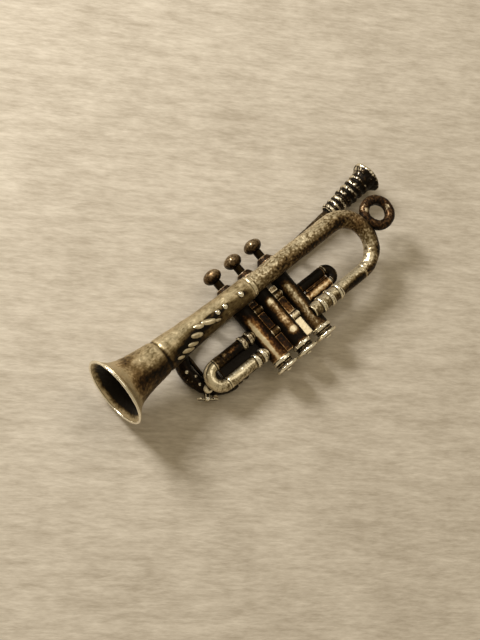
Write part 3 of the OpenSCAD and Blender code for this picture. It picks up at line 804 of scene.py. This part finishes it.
def web(name, start, end, z, thickness, body, finish, narrow=0.0):
    """A thin level plate from one corner to the other, narrower at its start if asked."""
    long, wide = end[0] - start[0], end[1] - start[1]
    centre = ((start[0] + end[0]) / 2, (start[1] + end[1]) / 2, z)
    bpy.ops.object.select_all(action="DESELECT")
    bpy.ops.mesh.primitive_plane_add(size=1, location=centre)
    plate = bpy.context.active_object
    bpy.ops.object.transform_apply(location=True, rotation=True, scale=True)
    bpy.ops.object.mode_set(mode="EDIT")
    bpy.ops.mesh.select_all(action="SELECT")
    bpy.ops.transform.resize(value=(long, wide, 1), center_override=centre)
    bpy.ops.object.mode_set(mode="OBJECT")
    if narrow:
        for vertex in plate.data.vertices:
            vertex.select = vertex.co.x < centre[0]
        for part in (*plate.data.edges, *plate.data.polygons):
            part.select = False
        bpy.ops.object.mode_set(mode="EDIT")
        bpy.ops.transform.resize(value=(1, 1 - 2 * narrow / wide, 1), center_override=centre)
        bpy.ops.object.mode_set(mode="OBJECT")
    use_modifier(plate, "SOLIDIFY", thickness=thickness, offset=0)
    use_modifier(plate, "REMESH", mode="VOXEL", voxel_size=0.06)
    lumps(plate, 0.06, 0.05)
    plate = finish_cast(plate, name, [], finish, body=body)
    print(name, "is", round(long, 2), "by", round(wide, 2), "mm")
    return plate


# %% The fixed half of the third slide's web
PIPE_SHARE = 1.18
WEB_THICK = 0.24
WEB_DEPTH = 0.1
third_low, third_high = node_box("third_slide_tubes")
web_z = (third_low.z + third_high.z) / 2 - WEB_DEPTH
gap_low = third_low.y + PIPE_SHARE
gap_high = third_high.y - PIPE_SHARE
web("third_web", (third_low.x + 0.06, gap_low), (third_high.x - 0.25, gap_high), web_z,
    WEB_THICK, "trumpet", CRUST)

# %% [markdown]
# ## The web of the first slide
#
# Between the first slide's two pipes the casting is filled too, but here the cloth reached it
# and brought out the copper. So it is the same kind of plate in the bronze finish. It stays
# with the fixed pipes, and stops short of the place where the bow comes home.

# %% Web between the first slide's pipes
FIRST_PIPE_SHARE = 1.02
first_low, first_high = node_box("first_slide_tubes")
web("first_web", (first_low.x + 0.5, first_low.y + FIRST_PIPE_SHARE),
    (first_high.x, first_high.y - FIRST_PIPE_SHARE), (first_low.z + first_high.z) / 2,
    0.3, "trumpet", BRONZE)

# %% [markdown]
# ## Lumps on the tuning slide's bow
#
# Drops of metal that ran out of the mould are left on the front of the tuning slide's bow.
# They are balls again, set at angles round the bow's bend, a little inside or outside the
# middle of the pipe. They ride on the slide, because they are part of its metal.

# %% Lumps on the bow
# Each lump: angle round the bend in degrees, how far outside the pipe's middle, and radius
LUMPS = [
    (143, 0.2, 0.2), (158, -0.1, 0.16), (176, 0.15, 0.19), (192, -0.2, 0.17),
    (205, 0.2, 0.2), (212, -0.25, 0.24), (219, 0.35, 0.5), (250, -0.2, 0.2),
]
LUMP_RISE = 0.86
LUMP_TILT = 0.3
tune_low, tune_high = node_box("tuning_slide_bow")
tune_thick = (tune_high.z - tune_low.z) / 2
bend_radius = (tune_high.y - tune_low.y) / 2 - tune_thick
bend_middle = Vector((
    tune_high.x, (tune_low.y + tune_high.y) / 2, (tune_low.z + tune_high.z) / 2,
))
drops = []
for degrees, out, radius in LUMPS:
    angle = math.radians(degrees)
    spot = bend_middle + Vector((
        (bend_radius + out) * math.cos(angle), (bend_radius + out) * math.sin(angle),
        tune_thick * LUMP_RISE,
    ))
    drops.append(ball(radius, (1, 1, 0.7), spot, Matrix.Rotation(LUMP_TILT, 4, "X")))
cast_on(drops, "lumps_on_tuning_bow", 0.08, 0.05, BLACKENED, "tuning_slide")

# %% [markdown]
# ## The moving half of the third slide's web
#
# The other half of the web fills the bend of the third slide's bow and rides on the slide.
# At rest the two halves meet, and when the slide is drawn a clear gap opens between them.

# %% The moving half
bow_mouth = node_box("third_slide_bow")[1].x
web("bow_web", (bow_mouth - 0.75, gap_low), (bow_mouth - 0.06, gap_high), web_z,
    WEB_THICK, "third_slide", CRUST, narrow=0.1)

# %% [markdown]
# ## Where the rubbing cloth reaches
#
# The finishes above ask each point for numbers. "edge" is worked out from the mesh alone: a
# point whose neighbours lie below it is on a bulge. "open" comes from rays: a few are sent
# out of each point, and each that soon meets another part of the instrument takes a share
# away. Both use the instrument at rest, because that is how it was blackened.

# %% Work out edge and open
RAYS = 14
REACH = 1.6 * MM
LIFT = 0.03 * MM
# What even a blocker at the end of a ray's reach takes away is this much less
FADE = 0.7
GOLDEN_TURN = 2.399963


def read(mesh):
    """A mesh's points, their normals and the two ends of each edge, as tables."""
    count = len(mesh.vertices)
    places = np.empty(count * 3)
    normals = np.empty(count * 3)
    mesh.vertices.foreach_get("co", places)
    mesh.vertices.foreach_get("normal", normals)
    ends = np.empty(len(mesh.edges) * 2, dtype=int)
    mesh.edges.foreach_get("vertices", ends)
    return places.reshape(-1, 3), normals.reshape(-1, 3), ends.reshape(-1, 2)


def spread(values, ends, count, rounds):
    """Averages a number with its neighbours' a few times."""
    share = np.maximum(np.bincount(ends.ravel(), minlength=count), 1)
    for _ in range(rounds):
        near = np.bincount(ends[:, 0], values[ends[:, 1]], count)
        near += np.bincount(ends[:, 1], values[ends[:, 0]], count)
        values = 0.5 * values + 0.5 * near / share
    return values


def bulge(places, normals, ends):
    """How far each point stands above its neighbours, from -1 to 1."""
    count = len(places)
    first, second = ends[:, 0], ends[:, 1]
    step = places[second] - places[first]
    length = np.maximum(np.linalg.norm(step, axis=1), 1e-9)
    rise_first = -np.einsum("ij,ij->i", step, normals[first]) / length
    rise_second = np.einsum("ij,ij->i", step, normals[second]) / length
    total = np.bincount(first, rise_first, count) + np.bincount(second, rise_second, count)
    share = np.maximum(np.bincount(ends.ravel(), minlength=count), 1)
    size = length.mean() / MM
    return spread(total / share, ends, count, 3) / size


def ray_fan(count):
    """Directions spread over the upper half of a ball, thicker round the pole."""
    fan = []
    for i in range(count):
        height = math.sqrt(1 - (i + 0.5) / count)
        turn = i * GOLDEN_TURN
        flat = math.sqrt(max(0, 1 - height * height))
        fan.append((flat * math.cos(turn), flat * math.sin(turn), height))
    return np.array(fan)


def whole_surface():
    """A search tree over every visible piece."""
    points, faces, offset = [], [], 0
    solid = [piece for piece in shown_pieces() if not piece.hide_render]
    for piece in solid:
        mesh = piece.data
        mesh.calc_loop_triangles()
        count = len(mesh.vertices)
        places = np.empty(count * 3)
        mesh.vertices.foreach_get("co", places)
        corners = np.empty(len(mesh.loop_triangles) * 3, dtype=int)
        mesh.loop_triangles.foreach_get("vertices", corners)
        points.append(places.reshape(-1, 3))
        faces.append(corners.reshape(-1, 3) + offset)
        offset += count
    return BVHTree.FromPolygons(
        np.concatenate(points).tolist(), np.concatenate(faces).tolist(), all_triangles=True
    )


def openness(tree, places, normals):
    """The share of each point's sky that is free."""
    fan = ray_fan(RAYS)
    side = np.where(np.abs(normals[:, :1]) < 0.9, [[1.0, 0, 0]], [[0, 1.0, 0]])
    across = np.cross(normals, side)
    across /= np.maximum(np.linalg.norm(across, axis=1, keepdims=True), 1e-9)
    beyond = np.cross(normals, across)
    starts = places + normals * LIFT
    blocked = np.zeros(len(places))
    cast = tree.ray_cast
    start_list = starts.tolist()
    for x, y, z in fan:
        ways = (across * x + beyond * y + normals * z).tolist()
        for i, way in enumerate(ways):
            distance = cast(start_list[i], way, REACH)[3]
            if distance is not None:
                blocked[i] += 1 - FADE * distance / REACH
    return 1 - blocked / len(fan)


def store(mesh, name, values):
    """Keeps one number on each point of a mesh, where the finishes read it."""
    held = mesh.attributes.new(name, "FLOAT", "POINT")
    held.data.foreach_set("value", np.clip(values, -1, 1).astype(np.float32))


print("rays out of each point", RAYS)

# %% [markdown]
# ## Handling and painted light
#
# No two places on the charm are rubbed alike, and here that is painted in, together with painted
# light and shade. A lean says which side of a piece is painted lighter, the side that faces the
# light, as an arrow. A stroke is a soft oval at a place given by its distance behind the rim and
# its height above the bell's axis, with its half length and half height, how much it brightens
# or blackens, and how much copper shows. Many strokes are painted highlights and painted shade,
# and the others uneven rubbing.

# %% Leans and warmth
VALVE_XS = [middle(f"finger_button_{number}").x - rim_x for number in (1, 2, 3)]
FIRST, SECOND, THIRD = VALVE_XS
# Painted light: each arrow makes the side of a piece that faces the light lighter
LIT_SIDE_LEANS = {
    "bell_skin": (0.0, 0.20, 0.05),
    "tube_and_bow": (0.0, 0.18, 0.0),
    "casing_1": (-0.3, 0.0, -0.12),
    "casing_2": (-0.05, 0.0, 0.0),
    "casing_3": (-0.2, 0.0, 0.0),
    "third_bow": (-0.1, 0.15, 0.1),
    "return_pipe": (0.0, 0.3, 0.0),
    "button_1": (0.0, 0.25, 0.0),
    "button_2": (0.0, 0.25, 0.0),
    "button_3": (0.0, 0.25, 0.0),
    "hanging_eye": (-0.15, 0.2, 0.1),
    "mouthpiece_skin": (0.0, 0.2, 0.0),
    "tuning_bow": (-0.1, 0.0, 0.1),
}
WARMTH = {
    "casing_1": 0.2, "casing_2": 0.5, "casing_3": 0.8, "webs": 0.4, "first_pipes": 0.75,
    "first_web": 0.7, "hanging_eye": 0.25, "button_1": 0.15, "button_2": 0.15, "button_3": 0.25,
    "bell_skin": 0.1, "tube_and_bow": 0.12, "upper_cap_1": 0.4, "upper_cap_2": 0.4,
    "upper_cap_3": 0.4,
}
USUAL_WARMTH = 0.05
print("leans", len(LIT_SIDE_LEANS), "warmths", len(WARMTH))

# %% Strokes
# Painted highlights and painted shade, with uneven rubbing and copper, stroke by stroke
LIGHT_AND_RUB_STROKES = {
    "mouthpiece_skin": [(34.2, 2.4, 0.35, 0.35, 0.6, 0.0), (35.6, 2.9, 0.3, 0.4, 0.7, 0.0),
                        (37.4, 2.6, 0.4, 1.0, 0.5, 0.0), (36.6, 3.0, 0.4, 0.5, 0.6, 0.0)],
    "bell_skin": [
        # Painted light along the lip of the mouth, with its rubbing
        (0.1, 0.0, 1.25, 9.0, 1.0, -0.1),
        (2.2, 1.5, 1.4, 0.6, -0.3, 0.2), (2.9, 1.0, 0.45, 0.25, 0.45, 0.0),
        (3.6, 0.75, 0.3, 0.2, 0.35, 0.0), (4.5, -1.1, 3.0, 0.55, -0.35, 0.2),
        (8.6, -1.0, 1.8, 0.45, -0.4, 0.0), (2.0, -0.6, 1.2, 1.6, -0.2, 0.35),
        (7.5, 0.8, 4.0, 0.6, 0.1, -0.1), (7.4, -0.1, 0.45, 0.35, 0.2, 0.0),
        (12.5, 0.5, 4.5, 0.4, 0.12, -0.1), (10.2, -0.35, 2.3, 0.5, -0.5, 0.0),
        (13.4, -0.25, 1.6, 0.25, -0.3, 0.0), (16.3, -0.3, 0.6, 0.25, -0.4, 0.0),
        # Black notches between the strands of the rope
        (11.95, 0.08, 0.5, 0.1, -0.75, 0.0), (11.2, -0.62, 0.7, 0.11, -0.8, 0.0),
        (10.0, -0.33, 0.45, 0.12, -0.85, 0.0), (8.85, -0.55, 0.5, 0.13, -0.7, 0.0),
        (8.8, -1.2, 0.5, 0.12, -0.7, 0.0), (7.6, -0.75, 0.45, 0.13, -0.7, 0.0),
        (7.6, -1.45, 0.6, 0.15, -0.6, 0.0), (12.9, -0.3, 0.6, 0.12, -0.6, 0.0),
    ],
    "tube_and_bow": [
        (20.0, 0.2, 0.5, 0.3, 0.3, 0.0), (21.2, 0.0, 0.4, 0.3, 0.25, 0.0),
        (25.2, 0.3, 0.5, 0.3, 0.3, 0.0), (26.2, 0.35, 0.3, 0.2, 0.3, 0.0),
        (22.0, -0.3, 2.0, 0.35, -0.15, 0.2), (26.0, -0.7, 3.5, 0.25, -0.35, 0.4),
        (29.6, -0.5, 0.9, 0.5, -0.3, 0.3), (31.6, -1.6, 0.9, 1.0, -0.15, 0.4),
        # Painted highlights on the inner edge of the bow
        (30.0, -5.2, 1.2, 0.4, 0.4, 0.0), (31.4, -4.3, 0.6, 0.8, 0.2, 0.0),
        # Painted shade on the outer side of the bow
        (32.9, -3.0, 0.6, 1.7, -0.7, 0.1), (32.0, -5.2, 0.8, 0.7, -0.6, 0.1),
        (29.5, -6.2, 2.0, 0.35, -0.4, 0.2),
    ],
    "casing_3": [
        (THIRD, -1.5, 1.4, 1.1, -0.45, 0.0), (THIRD - 0.95, -4.0, 0.25, 4.0, -0.5, -0.5),
        # A painted highlight streak on the side of the casing that faces the light
        (THIRD - 0.45, -5.0, 0.17, 2.3, 1.0, -0.8), (THIRD - 0.6, -3.9, 0.16, 0.5, 0.6, -0.6),
        (THIRD - 0.1, -3.6, 0.2, 1.6, 0.15, 0.2),
        (THIRD + 0.4, -4.9, 0.55, 1.9, -0.3, 0.3), (THIRD + 0.85, -5.2, 0.15, 2.0, 0.3, -0.4),
    ],
    "casing_2": [
        (SECOND - 0.75, -4.0, 0.3, 4.0, -0.6, -0.2), (SECOND + 0.75, -4.0, 0.3, 4.0, -0.6, -0.2),
        (SECOND, -1.4, 1.4, 0.7, -0.5, 0.0), (SECOND - 0.05, -2.3, 0.4, 0.35, 0.9, -0.6),
        (SECOND, -3.2, 0.25, 0.25, 0.4, -0.3), (SECOND, -4.5, 0.4, 0.7, 0.3, 0.1),
        (SECOND, -5.9, 0.4, 0.3, 1.0, -0.6), (SECOND, -6.8, 1.2, 0.5, -0.5, 0.0),
    ],
    "casing_1": [
        (FIRST, -1.3, 1.4, 0.5, -0.4, 0.0), (FIRST + 0.75, -4.0, 0.35, 4.0, -0.4, 0.0),
        (FIRST - 0.25, -4.4, 0.22, 2.6, 0.3, -0.1), (FIRST - 0.2, -2.3, 0.3, 0.5, 0.3, -0.2),
        (FIRST - 0.9, -4.0, 0.2, 4.0, -0.5, 0.0),
    ],
    "webs": [
        ((FIRST + SECOND) / 2, -6.1, 0.9, 1.2, 1.6, -0.6),
        ((FIRST + SECOND) / 2, -3.8, 0.9, 0.8, 0.15, 0.5),
        ((FIRST + SECOND) / 2, -1.6, 0.9, 0.6, 0.5, -0.3),
        ((SECOND + THIRD) / 2, -4.5, 0.9, 4.0, -0.15, 0.5),
    ],
    "knuckles": [
        ((FIRST + SECOND) / 2, -4.9, 0.9, 0.5, 0.3, 0.0),
        ((SECOND + THIRD) / 2, -3.5, 0.9, 3.0, -0.3, 0.0),
    ],
    "first_pipes": [(24.5, -3.1, 3.0, 0.5, -0.8, -0.4), (24.3, -4.6, 2.0, 0.3, 0.6, 0.0)],
    "first_bow": [(26.8, -3.7, 2.0, 2.0, -0.35, 0.0), (27.1, -4.3, 0.3, 0.3, 0.8, 0.0)],
    "third_pipes": [
        (12.8, -3.8, 2.6, 0.7, -0.8, 0.4), (12.6, -3.7, 0.7, 0.25, 0.55, 0.5),
        (11.6, -3.6, 0.2, 0.15, 0.6, 0.0), (12.0, -5.8, 1.6, 0.3, 0.45, 0.0),
        (14.2, -6.0, 0.5, 0.8, -0.5, 0.0),
    ],
    "third_bow": [(9.3, -4.2, 0.9, 0.9, 0.35, 0.0), (9.9, -6.3, 0.8, 0.4, -0.1, 0.0)],
    "third_beads": [(14.0, -3.8, 2.0, 0.7, -0.15, 0.2), (14.0, -5.6, 1.5, 0.3, 0.25, 0.0)],
    "return_pipe": [(28.0, -6.2, 3.0, 0.25, -0.35, 0.1), (28.5, -5.5, 1.5, 0.15, 0.2, 0.0)],
    # Painted highlights on the eye
    "hanging_eye": [(33.5, -1.3, 0.3, 0.3, 0.7, -0.4), (35.6, -2.3, 0.25, 0.3, 0.6, -0.4)],
    "rope_on_bell": [(8.5, -1.1, 1.5, 0.4, 0.1, 0.0), (11.5, -0.2, 0.9, 0.3, 0.4, 0.0)],
}
print("strokes", sum(len(strokes) for strokes in LIGHT_AND_RUB_STROKES.values()))

# %% Read the strokes at a point
# How painted shade darkens the inside of the mouth: at once, and further in from the lip
MOUTH_SHADE, THROAT_SHADE, LIP, LIP_FADE = 0.45, 1.2, 0.2, 0.6


def handling_and_light(name, places, normals):
    """The rubbing with painted light and shade, and the warmth, of a piece's points."""
    x = places[:, 0] / MM - rim_x
    y = places[:, 1] / MM - bell_axis.y
    rub_and_light = normals @ np.array(LIT_SIDE_LEANS.get(name, (0.0, 0.0, 0.0)))
    warm = np.full(len(places), WARMTH.get(name, USUAL_WARMTH))
    for at_x, at_y, half_x, half_y, more_light_and_rub, more_warm in LIGHT_AND_RUB_STROKES.get(name, []):
        near = np.exp(-((x - at_x) / half_x) ** 2 - ((y - at_y) / half_y) ** 2)
        rub_and_light += more_light_and_rub * near
        warm += more_warm * near
    if name == "bell_skin":
        # Painted shade inside the mouth: all of it darkens, and more from the lip into the throat
        out = places[:, 1:] / MM - np.array(bell_axis[1:])
        inside = np.einsum("ij,ij->i", out, normals[:, 1:]) < 0
        depth = np.clip((x - LIP) / LIP_FADE, 0, 1)
        rub_and_light += np.where(inside, -MOUTH_SHADE - THROAT_SHADE * depth, 0)
    return rub_and_light, np.clip(warm, 0, 1)


# %% [markdown]
# ## Store the numbers
#
# Every cast piece now gets its four numbers. They could be baked into an image, but an image
# needs a UV map and a size. Numbers on points need neither, and the meshes are fine enough.

# %% Store the numbers on every point
EDGE_GAIN = 0.55
EDGE_LOSS = 0.08
surface = whole_surface()
points_done = 0
for piece in cast_pieces:
    places, normals, ends = read(piece.data)
    edge = np.clip(bulge(places, normals, ends) * EDGE_GAIN - EDGE_LOSS, -1, 1)
    free = spread(openness(surface, places, normals), ends, len(places), 2)
    store(piece.data, "edge", edge)
    store(piece.data, "open", free)
    rub_and_light, warm = handling_and_light(piece.name, places, normals)
    store(piece.data, "rub_and_light", rub_and_light)
    store(piece.data, "warm", warm)
    points_done += len(places)
print("points weighed", points_done)

# %% [markdown]
# ## The floor
#
# The floor is a plain pale sheet with a faint cloth-like tooth, large enough to fill the
# frame. Its threads run across the view, so a Mapping node turns the noise and draws
# it out along them.

# %% Floor
FLOOR_SIDE = 1.2
THREAD_TURN = math.radians(-40.7)
THREAD_STRETCH = 4.5
bpy.ops.object.select_all(action="DESELECT")
bpy.ops.mesh.primitive_plane_add(size=FLOOR_SIDE, location=(0, 0, floor_z))
floor = bpy.context.active_object
floor.name = "floor"
bpy.ops.object.transform_apply(location=True, rotation=True, scale=True)
pale, tree, shader, coords = fresh("pale floor")
threads = grow(tree, "ShaderNodeMapping", vector_type="TEXTURE")
threads.inputs["Rotation"].default_value = (0, 0, THREAD_TURN)
threads.inputs["Scale"].default_value = (THREAD_STRETCH, 1, 1)
wire(tree, coords, threads.inputs["Vector"])
blotch = noise(tree, coords, 90, 4)
mottle = noise(tree, threads.outputs["Vector"], 900, 4, 0.7)
tooth = noise(tree, threads.outputs["Vector"], 3600, 3)
tint = weighed(tree, (blotch, 0.3), (mottle, 0.5), (tooth, 0.2))
wire(tree, ramp(tree, tint, [(0.36, (0.42, 0.36, 0.28, 1)), (0.64, (0.66, 0.59, 0.49, 1))]),
     shader.inputs["Base Color"])
shader.inputs["Roughness"].default_value = 0.9
raise_skin(tree, shader, sums(tree, "ADD", blotch, sums(tree, "MULTIPLY", tooth, 0.3)),
           0.35, 0.0003)
floor.data.materials.append(pale)
print("floor is", FLOOR_SIDE, "m wide, at height", floor_z)

# %% [markdown]
# ## Light
#
# One soft light stands low on the left and gives the long highlights and the shadow,
# and a weaker one fills from the other side. Metal shows what it reflects, so the world is a
# dim warm grey and not black. The plain view transform keeps black patina black.

# %% Lights


def softbox(name, offset, size, power, colour):
    """A square light that faces the charm, placed by the camera's axes in millimetres."""
    data = bpy.data.lights.new(name, "AREA")
    data.shape = "SQUARE"
    data.size = size * MM
    data.energy = power
    data.color = colour
    light = bpy.data.objects.new(name, data)
    bpy.context.scene.collection.objects.link(light)
    spot = aim + (right * offset[0] + up * offset[1] + Vector((0, 0, 1)) * offset[2]) * MM
    light.location = spot
    light.rotation_euler = (aim - spot).to_track_quat("-Z", "Y").to_euler()
    return light


softbox("key_light", (-122, 98, 108), 54, 0.37, (1.0, 0.985, 0.95))
softbox("fill_light", (60, 80, 150), 110, 0.05, (1.0, 0.95, 0.86))
print("lights", [data.name for data in bpy.data.lights])

# %% Surroundings
world = bpy.data.worlds.new("studio")
bpy.context.scene.world = world
world.use_nodes = True
background = world.node_tree.nodes["Background"]
background.inputs["Color"].default_value = (0.90, 0.77, 0.53, 1)
background.inputs["Strength"].default_value = 0.42
bpy.context.scene.view_settings.view_transform = "Standard"
print("surroundings", tuple(round(v, 2) for v in background.inputs["Color"].default_value))
